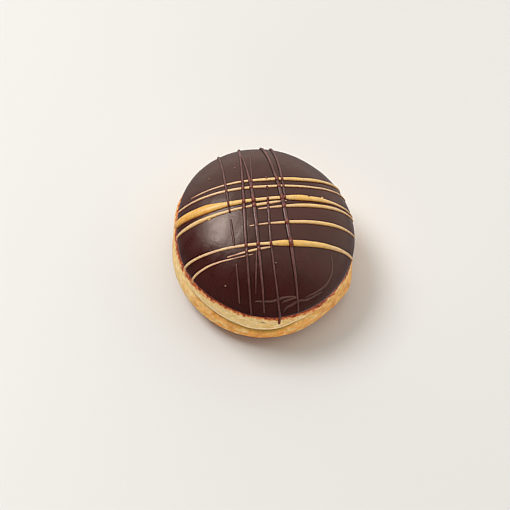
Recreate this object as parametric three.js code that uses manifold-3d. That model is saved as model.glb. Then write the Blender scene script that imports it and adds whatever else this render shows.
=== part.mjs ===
// A chocolate glazed doughnut: a round filled bun with no hole. Its lower half is a golden fried
// bulge, a pale band runs round the middle, and a thin cap of dark chocolate icing covers the
// dome. Drizzle is fused to the cap: caramel strands from side to side, and chocolate strands
// from back to front, which ride over the caramel where they cross it.
// Millimetres, +Z up. The origin is at the level of the flat base, under the middle of the whole.

import * as THREE from 'three';
import { mergeVertices } from 'three/addons/utils/BufferGeometryUtils.js';
import Module from 'manifold-3d';

// ---------------------------------------------------------------- driving dimensions
const BUN_RADIUS = 43.6;          // mean half width of the upper half, at its widest
const OVAL = 0.042;               // how much longer and narrower than round the plan is
const LONG_AXIS = rad(110);       // the way the longer axis points, from +X
const THREE_SIDED = 0.0086;       // a faint third bulge in the plan
const THREE_SIDED_TURN = rad(-10);
const LEAN_X = 0.9;               // how far the crown leans off the middle of the base
const LEAN_Y = 0.3;

const GIRTH_HEIGHT = 19.5;        // height at which the upper half is widest
const CROWN_HEIGHT = 43.2;        // top of the bare dough
const DOME_POWER = 2.23;          // 2 is an ellipse, more is fuller shouldered

const BASE_RADIUS = 27;           // the flat spot that the bun rests on
const BULGE_RADIUS = 44.6;        // widest radius of the lower half
const BULGE_HEIGHT = 8;
const BULGE_POWER = 2.25;

// Places where the bun stands out from its even form, or draws in.
const SWELLS = [
  { facing: rad(-161), spread: rad(9), height: 8, tall: 7, rise: 0.6 },
  { facing: rad(-52), spread: rad(17), height: 7, tall: 7, rise: -1.1 },
  { facing: rad(-27), spread: rad(8), height: 8, tall: 7, rise: 1.0 },
  { facing: rad(-9), spread: rad(10), height: 9, tall: 6, rise: -1.2 },
  { facing: rad(38), spread: rad(22), height: 27, tall: 12, rise: 0.4 },
  { facing: rad(160), spread: rad(18), height: 23.5, tall: 3.5, rise: 0.8 },
];

const CREASE_HEIGHT = 17;         // fold between the golden lower half and the pale band
const CREASE_WAVE = 0.3;          // it has four low waves
const CREASE_WAVE_TURN = rad(40);
const CREASE_DIP = 5.2;           // and dips by this much at the front
const CREASE_DIP_FACING = rad(-86);
const CREASE_DIP_LEFT = rad(30);  // how wide the dip is on either side of its lowest point
const CREASE_DIP_RIGHT = rad(16);
const CREASE_DEPTH = 1.5;
const CREASE_FACING = rad(-100);  // the fold is deepest on this side
const CREASE_SPREAD = rad(42);
const CREASE_FAINTNESS = 0.3;     // its depth on the far side over its greatest
const LIP_HEIGHT = 1.1;           // the pale band rolls over the fold within this height

const ICING_GAP = 0.3;            // clearance between the icing and the dough
const ICING_SIDE = 0.9;           // how far the icing stands out from the dough at the side
const ICING_CROWN = 1.75;         // and on the crown
const ICING_EDGE_ROLL = 2.4;      // the icing rounds off over this height above its rim
const ICING_EDGE_THINNING = 0.75; // share of its thickness that the edge gives up
const RIM_HEIGHT = 25.5;          // mean height of the icing's lower rim
const RIM_WAVES = [               // the rim is tilted, and it wanders up and down
  { waves: 1, rise: 2.2, turn: rad(169) },
  { waves: 2, rise: 0.7, turn: rad(-7) },
  { waves: 4, rise: 0.45, turn: rad(-18) },
  { waves: 5, rise: 0.2, turn: rad(30) },
  { waves: 6, rise: 0.25, turn: rad(-4) },
];

const STRAND_STEEPNESS = 0.55;    // height of a strand of drizzle over its width
const STRAND_MAX_HEIGHT = 1.35;
const STRAND_SINK = 0.45;         // how deep a strand sits in the icing
const CROSSING_EASE = 1.0;        // a strand climbs over another within this distance of it
const RIM_CLEAR = 0.6;            // a strand stops this far above the icing's rim
const DRIP_STEP = 0.25;           // distance between the places along a drip down the side
const FOOT_SHARE = 0.9;           // a strand's flat foot over its width
const SHOULDER_SHARE = 0.85;      // its shoulders over its width
const SHOULDER_RISE = 0.62;       // and their height over its crown
const END_TAPER = 0.7;            // width of a strand at its ends
const END_REACH = 0.35;           // how far its tip stands out, over that width
const TIP_RISE = 0.35;            // and how high, over its crown

const WELD = 1e-3;                // points closer than this are one point
const SIDES = 56;                 // facets round the bun and its icing
const LOWER_RINGS = [0, 0.09, 0.18, 0.28, 0.4, 0.5, 0.65, 0.78, 0.88, 0.95];  // base to fold
const BAND_RINGS = [0, 0.12, 0.3, 0.65];                                      // fold to girth
const DOME_RINGS = [1, 0.88, 0.76, 0.64, 0.52, 0.41, 0.3, 0.2, 0.1];          // girth to crown
const ICING_OUTER_RINGS = [0.1, 0.21, 0.33, 0.45, 0.57, 0.69, 0.8, 0.9, 0.96, 0.99];
const ICING_INNER_RINGS = [0.99, 0.91, 0.81, 0.69, 0.56, 0.42, 0.28, 0.14];
const TRAIL_SAMPLES = 300;        // places at which a strand is tested against the rim
const CARAMEL_STEP = 5;           // distance between the rings along a strand
const CHOCOLATE_STEP = 3;

// Each strand runs straight from one plan point to another, apart from a bow and a sway to its
// left, and has its widths at even stations along it. An overrun takes it past the rim, and a
// drip runs on down the side.
const CARAMEL_STRANDS = [
  { from: [-33, 11.9], to: [38, 22.5], bow: 0.5, widths: [0.6, 0.9, 1.4, 1.9, 2.0, 1.6] },
  { from: [-39.7, 7.7], to: [40, 17.5], bow: 0.6, sway: 0.6, widths: [1.0, 1.2, 1.3, 1.3, 1.2, 0.9] },
  { from: [-42.5, 0.9], to: [43, 8.4], bow: 1.4, sway: -0.4, overrun: 1.8,
    widths: [2.8, 4.0, 4.3, 2.7, 1.9, 1.6, 1.9, 3.0, 2.5, 1.4, 1.1] },
  { from: [-41.5, -5.3], to: [14, 6], bow: 0.3, overrun: 2.3,
    widths: [1.1, 2.0, 2.1, 1.6, 1.2, 1.0, 1.4, 1.4, 1.2] },
  { from: [-2, 0.8], to: [42.5, 6.2], bow: 0.4, widths: [0.6, 1.1, 1.6, 1.9, 1.8, 1.1] },
  { from: [-6, -8], to: [43, -3.4], bow: 0.6, widths: [0.5, 1.0, 1.6, 1.7, 1.6, 1.1] },
  { from: [-37.4, -20.4], to: [42, -14.6], bow: 0.9, sway: 0.2, overrun: 3.2,
    widths: [1.2, 1.1, 1.1, 1.2, 1.3, 1.4, 2.9, 2.8, 2.4, 1.8, 1.0] },
  { from: [-33.6, -26.8], to: [-4, -21.5], bow: 0.7, sway: 0.3, overrun: 3.3,
    widths: [1.1, 1.0, 0.9, 0.7] },
  { from: [-16, -22], to: [5.5, -18], bow: 0, widths: [0.6, 0.8, 1.2, 1.3] },
];
const CHOCOLATE_STRANDS = [
  { from: [-20.8, 38.5], to: [-14.7, -1], bow: 0.3, widths: [1.5, 1.2, 1.2, 1.2, 0.9] },
  { from: [-14.4, -4], to: [-12.6, -18], bow: 0, widths: [0.9, 1.1, 0.9] },
  { from: [-11.7, -25.5], to: [-10.1, -40.6], bow: 0, widths: [0.7, 0.9, 1.1, 0.9] },
  { from: [-11, 42.5], to: [-4.9, -44.4], bow: -0.2, sway: 0.3, overrun: 0.6,
    widths: [1.6, 1.2, 1.4, 1.7, 1.5, 1.4, 1.2] },
  { from: [-10.9, 38], to: [0.9, -44], bow: 1.9, sway: 0.55,
    widths: [0.8, 1.2, 1.8, 2.1, 1.7, 1.5, 1.1] },
  { from: [-5.4, 32], to: [-4.7, 13], bow: 0, widths: [0.7, 0.8, 0.9] },
  { from: [-2.6, -20], to: [-2.9, -38], bow: 0, widths: [0.7, 0.8, 0.6] },
  { from: [1.9, 19], to: [2, 17], bow: 0, widths: [1.3, 1.3] },
  { from: [2.2, 13], to: [2.4, 11], bow: 0, widths: [1.1, 1.1] },
  { from: [2.6, 7], to: [7.9, -44.6], bow: -1.1, drip: 7,
    widths: [1.1, 1.3, 1.2, 1.3, 1.2, 1.4, 1.4] },
  { from: [-0.5, 43], to: [16.3, -42.9], bow: 2.2, sway: 0.3, overrun: 0.4,
    widths: [1.8, 1.4, 1.8, 2.1, 2.1, 1.8, 1.0] },
  { from: [4, 43], to: [10.4, 5.5], bow: 0.9, widths: [1.7, 1.3, 1.3, 1.2, 1.1] },
];

// ---------------------------------------------------------------- form of the bun
function rad(degrees) {
  return degrees * Math.PI / 180;
}

function clamp01(value) {
  return Math.min(Math.max(value, 0), 1);
}

// The plan outline as a factor on the radius, for a direction from the middle.
function outline(angle) {
  return 1 + OVAL * Math.cos(2 * (angle - LONG_AXIS))
    + THREE_SIDED * Math.cos(3 * (angle - THREE_SIDED_TURN));
}

// The turn from one direction to another, from half a turn back to half a turn on.
function turnBetween(from, to) {
  return Math.atan2(Math.sin(to - from), Math.cos(to - from));
}

function bump(distance, spread) {
  return Math.exp(-((distance / spread) ** 2));
}

// How far the bun stands out from its even form in a direction and at a height.
function swell(angle, height) {
  return SWELLS.reduce((sum, place) => sum
    + place.rise * bump(turnBetween(place.facing, angle), place.spread)
      * bump(height - place.height, place.tall), 0);
}

// A point of the bun from its radius before the outline is applied, its direction and height.
function bunPoint(radius, angle, height) {
  const reach = (radius + swell(angle, height)) * outline(angle);
  const lean = height / CROWN_HEIGHT;
  return new THREE.Vector3(
    reach * Math.cos(angle) + LEAN_X * lean,
    reach * Math.sin(angle) + LEAN_Y * lean,
    height,
  );
}

// The dome grown by a skin: radius and height at an angle from the crown, 0, to the girth, 1.
function domeProfile(turn, side, crown) {
  const angle = turn * Math.PI / 2;
  return {
    radius: (BUN_RADIUS + side) * Math.sin(angle) ** (2 / DOME_POWER),
    height: GIRTH_HEIGHT
      + (CROWN_HEIGHT + crown - GIRTH_HEIGHT) * Math.cos(angle) ** (2 / DOME_POWER),
  };
}

// The turn at which the dome comes down to a height.
function domeTurn(height, crown) {
  const share = (height - GIRTH_HEIGHT) / (CROWN_HEIGHT + crown - GIRTH_HEIGHT);
  return Math.acos(clamp01(share) ** (DOME_POWER / 2)) / (Math.PI / 2);
}

// The radius of the icing's outer face at a height, before the outline is applied.
function sideRadius(height) {
  const share = clamp01((height - GIRTH_HEIGHT) / (CROWN_HEIGHT + ICING_CROWN - GIRTH_HEIGHT));
  return (BUN_RADIUS + ICING_SIDE) * (1 - share ** DOME_POWER) ** (1 / DOME_POWER);
}

function creaseHeight(angle) {
  const away = turnBetween(CREASE_DIP_FACING, angle);
  const dip = CREASE_DIP * bump(away, away > 0 ? CREASE_DIP_RIGHT : CREASE_DIP_LEFT);
  return CREASE_HEIGHT - dip + CREASE_WAVE * Math.cos(4 * (angle - CREASE_WAVE_TURN));
}

function creaseDepth(angle) {
  const near = bump(turnBetween(CREASE_FACING, angle), CREASE_SPREAD);
  return CREASE_DEPTH * (CREASE_FAINTNESS + (1 - CREASE_FAINTNESS) * near);
}

function rimHeight(angle) {
  return RIM_WAVES.reduce((height, { waves, rise, turn }) => (
    height + rise * Math.cos(waves * (angle - turn))), RIM_HEIGHT);
}

// ---------------------------------------------------------------- solids
// A closed solid from rings of points, with a single point at its first and last ring.
function ringSolid(rings) {
  const sides = rings[1].length;
  const positions = rings.flat().flatMap((point) => point.toArray());
  const start = (ring) => (ring === 0 ? 0 : 1 + (ring - 1) * sides);
  const index = [];
  for (let side = 0; side < sides; side += 1) {
    const next = (side + 1) % sides;
    index.push(0, start(1) + next, start(1) + side);
    for (let ring = 1; ring < rings.length - 2; ring += 1) {
      const low = start(ring);
      const high = start(ring + 1);
      index.push(low + side, low + next, high + next);
      index.push(low + side, high + next, high + side);
    }
    const last = start(rings.length - 2);
    index.push(last + side, last + next, start(rings.length - 1));
  }
  const geometry = new THREE.BufferGeometry();
  geometry.setAttribute('position', new THREE.Float32BufferAttribute(positions, 3));
  geometry.setIndex(index);
  return geometry;
}

function ringAt(sides, pointAt) {
  return Array.from({ length: sides }, (_, side) => pointAt(side / sides * Math.PI * 2));
}

// The lower half is a quarter round from the flat base out to the bulge, then in to the fold.
function lowerProfile(share, angle) {
  const top = creaseHeight(angle);
  if (share <= 0.5) {
    const turn = (1 - share * 2) * Math.PI / 2;
    return {
      radius: BASE_RADIUS + (BULGE_RADIUS - BASE_RADIUS) * Math.cos(turn) ** (2 / BULGE_POWER),
      height: BULGE_HEIGHT * (1 - Math.sin(turn) ** (2 / BULGE_POWER)),
    };
  }
  const climb = share * 2 - 1;
  const fold = BUN_RADIUS - creaseDepth(angle);
  return {
    radius: BULGE_RADIUS - (BULGE_RADIUS - fold) * climb ** 3,
    height: BULGE_HEIGHT + (top - BULGE_HEIGHT) * climb,
  };
}

// The pale band rolls out over the fold and climbs to the girth.
function bandProfile(share, angle) {
  const low = creaseHeight(angle);
  const height = low + (GIRTH_HEIGHT - low) * share;
  const roll = clamp01(1 - (height - low) / LIP_HEIGHT);
  return { radius: BUN_RADIUS - creaseDepth(angle) * roll ** 2, height };
}

function doughGeometry() {
  const rings = [[new THREE.Vector3(0, 0, 0)]];
  const addRing = (profile) => {
    rings.push(ringAt(SIDES, (angle) => {
      const { radius, height } = profile(angle);
      return bunPoint(radius, angle, height);
    }));
  };
  for (const share of LOWER_RINGS) {
    addRing((angle) => lowerProfile(share, angle));
  }
  for (const share of BAND_RINGS) {
    addRing((angle) => bandProfile(share, angle));
  }
  for (const turn of DOME_RINGS) {
    addRing(() => domeProfile(turn, 0, 0));
  }
  rings.push([bunPoint(0, 0, CROWN_HEIGHT)]);
  return ringSolid(rings);
}

// The icing runs over its outer face from crown to rim, round the rim and back up inside.
function icingGeometry() {
  const rings = [[bunPoint(0, 0, CROWN_HEIGHT + ICING_CROWN)]];
  for (const share of ICING_OUTER_RINGS) {
    rings.push(ringAt(SIDES, (angle) => {
      const rim = rimHeight(angle);
      const full = domeProfile(share * domeTurn(rim, ICING_CROWN), ICING_SIDE, ICING_CROWN);
      const roll = clamp01(1 - (full.height - rim) / ICING_EDGE_ROLL);
      const thin = (ICING_SIDE - ICING_GAP) * ICING_EDGE_THINNING * roll ** 3;
      return bunPoint(full.radius - thin, angle, full.height);
    }));
  }
  for (const share of ICING_INNER_RINGS) {
    rings.push(ringAt(SIDES, (angle) => {
      const turn = share * domeTurn(rimHeight(angle), ICING_GAP);
      const { radius, height } = domeProfile(turn, ICING_GAP, ICING_GAP);
      return bunPoint(radius, angle, height);
    }));
  }
  rings.push([bunPoint(0, 0, CROWN_HEIGHT + ICING_GAP)]);
  return ringSolid(rings.reverse());
}

// ---------------------------------------------------------------- drizzle
// The outer face of the icing over a plan point, which is brought inside its edge if need be.
function icingPoint(x, y) {
  let height = CROWN_HEIGHT;
  let point;
  for (let pass = 0; pass < 4; pass += 1) {
    const dx = x - LEAN_X * height / CROWN_HEIGHT;
    const dy = y - LEAN_Y * height / CROWN_HEIGHT;
    const angle = Math.atan2(dy, dx);
    const reach = Math.hypot(dx, dy) / outline(angle) / (BUN_RADIUS + ICING_SIDE);
    const turn = Math.asin(Math.min(reach, 0.999) ** (DOME_POWER / 2)) / (Math.PI / 2);
    const { radius, height: top } = domeProfile(turn, ICING_SIDE, ICING_CROWN);
    height = top;
    point = bunPoint(radius, angle, height);
  }
  return point;
}

function icingNormal(x, y) {
  const step = 0.2;
  const here = icingPoint(x, y);
  const inward = 1 - step / Math.max(Math.hypot(x, y), step);
  const along = icingPoint(x * inward, y * inward).sub(here);
  const across = new THREE.Vector3(-y, x, 0).normalize();
  const normal = across.cross(along).normalize();
  return normal.z < 0 ? normal.negate() : normal;
}

function planPoint(strand, t) {
  const [x0, y0] = strand.from;
  const [x1, y1] = strand.to;
  const sway = (strand.sway ?? 0) * Math.sin(2 * Math.PI * t);
  const aside = (strand.bow * 4 * t * (1 - t) + sway) / Math.hypot(x1 - x0, y1 - y0);
  return [x0 + (x1 - x0) * t - (y1 - y0) * aside, y0 + (y1 - y0) * t + (x1 - x0) * aside];
}

function widthAt(strand, t) {
  const place = clamp01(t) * (strand.widths.length - 1);
  const station = Math.min(Math.floor(place), strand.widths.length - 2);
  const blend = place - station;
  return strand.widths[station] * (1 - blend) + strand.widths[station + 1] * blend;
}

function strandHeight(width) {
  return Math.min(width * STRAND_STEEPNESS, STRAND_MAX_HEIGHT);
}

// How high the caramel lies over the icing at a plan point, eased out at the strands' sides.
function caramelLift(x, y) {
  let lift = 0;
  for (const strand of CARAMEL_STRANDS) {
    const [x0, y0] = strand.from;
    const [x1, y1] = strand.to;
    const span = (x1 - x0) ** 2 + (y1 - y0) ** 2;
    const t = clamp01(((x - x0) * (x1 - x0) + (y - y0) * (y1 - y0)) / span);
    const [px, py] = planPoint(strand, t);
    const width = widthAt(strand, t);
    const beside = Math.hypot(x - px, y - py) / (width / 2 + CROSSING_EASE);
    const ease = clamp01(1 - beside) ** 0.7;
    lift = Math.max(lift, strandHeight(width) * ease);
  }
  return lift;
}

// The icing's outer face, carried straight down from a point by a given fall.
function pointBelow(point, fall) {
  const height = point.z - fall;
  const lean = point.z / CROWN_HEIGHT;
  const angle = Math.atan2(point.y - LEAN_Y * lean, point.x - LEAN_X * lean);
  return bunPoint(sideRadius(height), angle, height);
}

// The stretch of a strand that lies on the icing, what it runs over the rim, and its drip.
function strandTrail(strand) {
  const trail = [];
  for (let i = 0; i <= TRAIL_SAMPLES; i += 1) {
    const t = i / TRAIL_SAMPLES;
    const point = icingPoint(...planPoint(strand, t));
    const rim = rimHeight(Math.atan2(point.y, point.x));
    if (point.z > rim + RIM_CLEAR - (strand.overrun ?? 0)) {
      trail.push({ t, point });
    }
  }
  const last = trail.at(-1).point;
  for (let fall = DRIP_STEP; fall <= (strand.drip ?? 0); fall += DRIP_STEP) {
    trail.push({ t: 1, point: pointBelow(last, fall) });
  }
  return trail;
}

// A bead with a rounded top, a flat bottom sunk in the icing and tapered ends.
function strandGeometry(strand, step, liftAt) {
  const trail = strandTrail(strand);
  const path = new THREE.CatmullRomCurve3(trail.map(({ point }) => point));
  const length = path.getLength();
  const steps = Math.max(3, Math.round(length / step));
  const rings = [];
  const ends = [];
  for (let i = 0; i <= steps; i += 1) {
    const share = i / steps;
    const centre = path.getPointAt(share);
    const along = path.getTangentAt(share);
    const up = icingNormal(centre.x, centre.y);
    const side = along.clone().cross(up).normalize();
    const { t } = trail[Math.round(path.getUtoTmapping(share) * (trail.length - 1))];
    const atEnd = i === 0 || i === steps;
    const width = widthAt(strand, t) * (atEnd ? END_TAPER : 1);
    const height = strandHeight(width);
    const lift = liftAt(centre.x, centre.y);
    const place = (out, rise) => centre.clone()
      .addScaledVector(side, out * width / 2)
      .addScaledVector(up, rise);
    const shoulder = height * SHOULDER_RISE + lift;
    rings.push([
      place(-FOOT_SHARE, -STRAND_SINK), place(-SHOULDER_SHARE, shoulder), place(0, height + lift),
      place(SHOULDER_SHARE, shoulder), place(FOOT_SHARE, -STRAND_SINK),
    ]);
    if (atEnd) {
      const outwards = i === 0 ? -END_REACH : END_REACH;
      ends.push(place(0, height * TIP_RISE).addScaledVector(along, outwards * width));
    }
  }
  return ringSolid([[ends[0]], ...rings, [ends[1]]]);
}

// ---------------------------------------------------------------- joining
const wasm = await Module();
wasm.setup();

function toManifold(geometry) {
  const merged = mergeVertices(geometry, WELD);
  return new wasm.Manifold(new wasm.Mesh({
    numProp: 3,
    vertProperties: new Float32Array(merged.attributes.position.array),
    triVerts: new Uint32Array(merged.index.array),
  }));
}

function toGeometry(manifold) {
  const { vertProperties, triVerts } = manifold.getMesh();
  const geometry = new THREE.BufferGeometry();
  geometry.setAttribute('position', new THREE.BufferAttribute(vertProperties, 3));
  geometry.setIndex(new THREE.BufferAttribute(triVerts, 1));
  return geometry;
}

// Joining can seal small hollows, whose own shells hold less than the outer one and are left out.
function outerShell(joined) {
  const shells = toManifold(toGeometry(joined)).decompose();
  return shells.reduce((most, shell) => (shell.volume() > most.volume() ? shell : most));
}

function drizzledIcingGeometry() {
  let cap = toManifold(icingGeometry());
  for (const strand of CARAMEL_STRANDS) {
    cap = cap.add(toManifold(strandGeometry(strand, CARAMEL_STEP, () => 0)));
  }
  for (const strand of CHOCOLATE_STRANDS) {
    cap = cap.add(toManifold(strandGeometry(strand, CHOCOLATE_STEP, caramelLift)));
  }
  return toGeometry(outerShell(cap));
}

// ---------------------------------------------------------------- the doughnut
function namedMesh(name, geometry, colour, roughness) {
  geometry.computeVertexNormals();
  const material = new THREE.MeshStandardMaterial({ color: colour, roughness, metalness: 0 });
  const mesh = new THREE.Mesh(geometry, material);
  mesh.name = name;
  return mesh;
}

const doughnut = new THREE.Group();
doughnut.name = 'chocolate_glazed_doughnut';
doughnut.add(namedMesh('dough', doughGeometry(), 0xd9a95e, 0.7));
doughnut.add(namedMesh('chocolate_icing', drizzledIcingGeometry(), 0x4a2f2c, 0.35));

const middle = new THREE.Box3().setFromObject(doughnut).getCenter(new THREE.Vector3());
doughnut.position.set(-middle.x, -middle.y, 0);

export default doughnut;
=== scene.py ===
"""A chocolate glazed doughnut, filled and with no hole.

A fried bun with a golden lower half, a fold and a pale band, a cap of dark chocolate icing, and
drizzle over it: caramel from side to side, then chocolate from back to front. The bun and the icing
are turned ring by ring, the drizzle is drawn as curves and pressed down on to the icing.
Metres, +Z up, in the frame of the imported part.
"""

import math
from collections import namedtuple

import bpy
import numpy as np
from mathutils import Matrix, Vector, noise
from mathutils.bvhtree import BVHTree
from mathutils.kdtree import KDTree


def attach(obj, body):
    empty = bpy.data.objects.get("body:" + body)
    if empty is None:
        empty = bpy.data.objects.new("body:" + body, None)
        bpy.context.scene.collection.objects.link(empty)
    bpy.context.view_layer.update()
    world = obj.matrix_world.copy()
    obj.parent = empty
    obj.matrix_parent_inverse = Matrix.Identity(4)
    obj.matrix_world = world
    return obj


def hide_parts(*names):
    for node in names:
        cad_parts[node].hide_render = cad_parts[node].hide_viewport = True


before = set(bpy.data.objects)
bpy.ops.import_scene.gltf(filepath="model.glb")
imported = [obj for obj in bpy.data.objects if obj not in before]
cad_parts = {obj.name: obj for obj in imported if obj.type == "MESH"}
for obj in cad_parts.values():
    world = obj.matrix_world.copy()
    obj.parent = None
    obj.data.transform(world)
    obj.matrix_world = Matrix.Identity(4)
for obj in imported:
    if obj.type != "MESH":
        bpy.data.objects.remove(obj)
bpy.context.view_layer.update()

MM = 0.001
BODY = "root"

rad = math.radians

# -------------------- sizes, as in the solids
BUN_RADIUS = 43.6 * MM
OVAL = 0.042  # how much longer and narrower than round the plan is
LONG_AXIS = rad(110)
THREE_SIDED = 0.0086  # a faint third bulge in the plan
THREE_SIDED_TURN = rad(-10)
LEAN = (0.9 * MM, 0.3 * MM)  # how far the crown leans off the middle of the base
MIDDLE = (0.367 * MM, 0.211 * MM)  # middle of the whole, from the middle of the base

GIRTH_HEIGHT = 19.5 * MM
CROWN_HEIGHT = 43.2 * MM
DOME_POWER = 2.23  # 2 is an ellipse, more is fuller shouldered

BASE_RADIUS = 27 * MM
BULGE_RADIUS = 44.6 * MM
BULGE_HEIGHT = 8 * MM
BULGE_POWER = 2.25

# Places where the bun stands out from its even form or draws in: facing and spread in degrees,
# then height, spread in height and rise in millimetres.
SWELLS = (
    (-161, 9, 8, 7, 0.6),
    (-52, 17, 7, 7, -1.1),
    (-27, 8, 8, 7, 1.0),
    (-9, 10, 9, 6, -1.2),
    (38, 22, 27, 12, 0.4),
    (160, 18, 23.5, 3.5, 0.8),
)

FOLD_HEIGHT = 17 * MM
FOLD_WAVE = 0.3 * MM
FOLD_WAVE_TURN = rad(40)
FOLD_DIP = 5.2 * MM  # the fold dips by this much at the front
FOLD_DIP_FACING = rad(-86)
FOLD_DIP_LEFT = rad(30)
FOLD_DIP_RIGHT = rad(16)
FOLD_DEPTH = 1.5 * MM
FOLD_FACING = rad(-100)  # and is deepest on this side
FOLD_SPREAD = rad(42)
FOLD_FAINTNESS = 0.3
LIP_HEIGHT = 1.1 * MM

ICING_SIDE = 0.9 * MM
ICING_CROWN = 1.75 * MM
ICING_GAP = 0.3 * MM
ICING_EDGE_ROLL = 2.4 * MM
ICING_EDGE_THINNING = 0.75
RIM_HEIGHT = 25.5 * MM
RIM_WAVES = (  # number of waves, rise in millimetres, turn in degrees
    (1, 2.2, 169),
    (2, 0.7, -7),
    (4, 0.45, -18),
    (5, 0.2, 30),
    (6, 0.25, -4),
)
RIM_CLEAR = 0.6 * MM

# Each strand runs straight between two plan points, in millimetres from the middle of the base,
# apart from a bow and a sway to its left, and has its widths at even stations along it. An
# overrun takes it past the icing's rim, and a drip runs on down the side. They follow the solids'
# strands, with some ends a little thinner or shorter.
Strand = namedtuple("Strand", "start end widths bow sway overrun drip", defaults=(0, 0, 0, 0))

CARAMEL_STRANDS = (
    Strand((-33, 11.9), (38, 22.5), (0.6, 0.9, 1.4, 1.8, 1.9, 1.1), bow=0.3, sway=0.8),
    Strand((-39.7, 7.7), (40, 17.5), (0.9, 1.2, 1.3, 1.3, 1.1, 0.8), bow=0.6, sway=0.6),
    Strand((-42.5, 0.9), (43, 8.4), (2.8, 4.0, 4.3, 2.7, 1.9, 1.6, 1.8, 3.0, 2.5, 1.3, 0.9),
           bow=1.4, sway=-0.4, overrun=1.8),
    Strand((-41.5, -5.3), (11.4, 5.6), (0.9, 1.7, 2.0, 1.6, 1.2, 1.0, 1.4, 1.3, 0.5),
           bow=0.3, overrun=2.3),
    Strand((-2, 0.8), (42.5, 6.2), (0.6, 1.1, 1.6, 1.8, 1.7, 0.8), bow=0.4),
    Strand((-6, -8), (43, -3.4), (0.5, 0.9, 1.5, 1.7, 1.6, 0.8), bow=0.6),
    Strand((-37.4, -20.4), (42, -14.6), (1.2, 1.1, 1.1, 1.2, 1.3, 1.4, 2.9, 2.8, 2.4, 1.8, 1.0),
           bow=0.9, sway=0.2, overrun=3.2),
    Strand((-33.6, -26.8), (-4, -21.5), (1.1, 0.9, 0.55, 0.35), bow=0.7, sway=0.3, overrun=3.3),
    Strand((-16, -22), (4.3, -18.1), (0.5, 0.8, 1.1, 0.7)),
)
CHOCOLATE_STRANDS = (
    Strand((-20.8, 38.5), (-14.7, -1), (1.5, 1.2, 1.2, 1.2, 0.9), bow=0.3),
    Strand((-14.4, -4), (-12.6, -18), (0.9, 1.1, 0.9)),
    Strand((-11.7, -25.5), (-10.1, -40.6), (0.7, 0.9, 1.1, 0.9)),
    Strand((-11, 42.5), (-4.9, -44.4), (1.6, 1.2, 1.4, 1.7, 1.5, 1.3, 1.0),
           bow=-0.2, sway=0.3, overrun=0.6),
    Strand((-10.9, 38), (0.9, -44), (0.8, 1.2, 1.8, 2.1, 1.7, 1.4, 0.9), bow=1.9, sway=0.55),
    Strand((-5.4, 32), (-4.7, 13), (0.7, 0.8, 0.9)),
    Strand((-2.6, -20), (-2.9, -38), (0.7, 0.8, 0.6)),
    Strand((1.9, 19), (2, 17), (1.3, 1.3)),
    Strand((2.2, 13), (2.4, 11), (1.1, 1.1)),
    Strand((2.6, 7), (7.9, -44.6), (1.1, 1.3, 1.2, 1.2, 1.1, 1.0, 1.3), bow=-1.1, drip=7),
    Strand((-0.5, 43), (16.3, -42.9), (1.8, 1.4, 1.8, 2.1, 2.1, 1.6, 0.8),
           bow=2.2, sway=0.3, overrun=0.4),
    Strand((4, 43), (10.4, 5.5), (1.7, 1.3, 1.3, 1.2, 1.1), bow=0.9),
)

# -------------------- how finely the pieces are made
BUN_SIDES = 96
ICING_SIDES = 96
SMOOTHING = 2  # levels of subdivision on the bun and the icing
STRAND_STEP = 0.4 * MM
STRAND_ROUND = 4  # bevel resolution of a strand
TRAIL_SAMPLES = 400
CURVE_STEPS = 8  # between two plan points of a ridge
DRIP_STEP = 0.25 * MM
WELD = 1e-6  # points closer than this are one point


# -------------------- form
def bump(distance, width):
    """A soft hump over a distance, 1 in the middle."""
    return np.exp(-(distance / width) ** 2)


def turn_between(start, end):
    """The turn from one direction to another, from half a turn back to half a turn on."""
    return np.arctan2(np.sin(end - start), np.cos(end - start))


def outline(angle):
    """The plan outline as a factor on the radius, for a direction from the middle."""
    oval = OVAL * np.cos(2 * (angle - LONG_AXIS))
    return 1 + oval + THREE_SIDED * np.cos(3 * (angle - THREE_SIDED_TURN))


def swell(angle, height):
    """How far the bun stands out from its even form in a direction and at a height."""
    total = np.zeros_like(angle + height)
    for facing_degrees, spread, middle, tall, rise in SWELLS:
        near = bump(turn_between(rad(facing_degrees), angle), rad(spread))
        total = total + rise * MM * near * bump(height - middle * MM, tall * MM)
    return total


def dome_radius(turn, side):
    return (BUN_RADIUS + side) * np.sin(turn) ** (2 / DOME_POWER)


def dome_height(turn, crown):
    rise = np.clip(np.cos(turn), 0, 1) ** (2 / DOME_POWER)
    return GIRTH_HEIGHT + (CROWN_HEIGHT + crown - GIRTH_HEIGHT) * rise


def dome_turn(height, crown):
    """The turn from the crown at which the dome, grown by a skin, comes down to a height."""
    share = (height - GIRTH_HEIGHT) / (CROWN_HEIGHT + crown - GIRTH_HEIGHT)
    return np.arccos(np.clip(share, 0, 1) ** (DOME_POWER / 2))


def side_radius(height):
    """The radius of the icing's outer face at a height, before the outline is applied."""
    share = np.clip((height - GIRTH_HEIGHT) / (CROWN_HEIGHT + ICING_CROWN - GIRTH_HEIGHT), 0, 1)
    return (BUN_RADIUS + ICING_SIDE) * (1 - share ** DOME_POWER) ** (1 / DOME_POWER)


def fold_height(angle):
    away = turn_between(FOLD_DIP_FACING, angle)
    dip = FOLD_DIP * bump(away, np.where(away > 0, FOLD_DIP_RIGHT, FOLD_DIP_LEFT))
    return FOLD_HEIGHT - dip + FOLD_WAVE * np.cos(4 * (angle - FOLD_WAVE_TURN))


def fold_depth(angle):
    near = bump(turn_between(FOLD_FACING, angle), FOLD_SPREAD)
    return FOLD_DEPTH * (FOLD_FAINTNESS + (1 - FOLD_FAINTNESS) * near)


def rim_height(angle):
    height = RIM_HEIGHT
    for waves, rise, turn in RIM_WAVES:
        height = height + rise * MM * np.cos(waves * (angle - rad(turn)))
    return height


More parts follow.
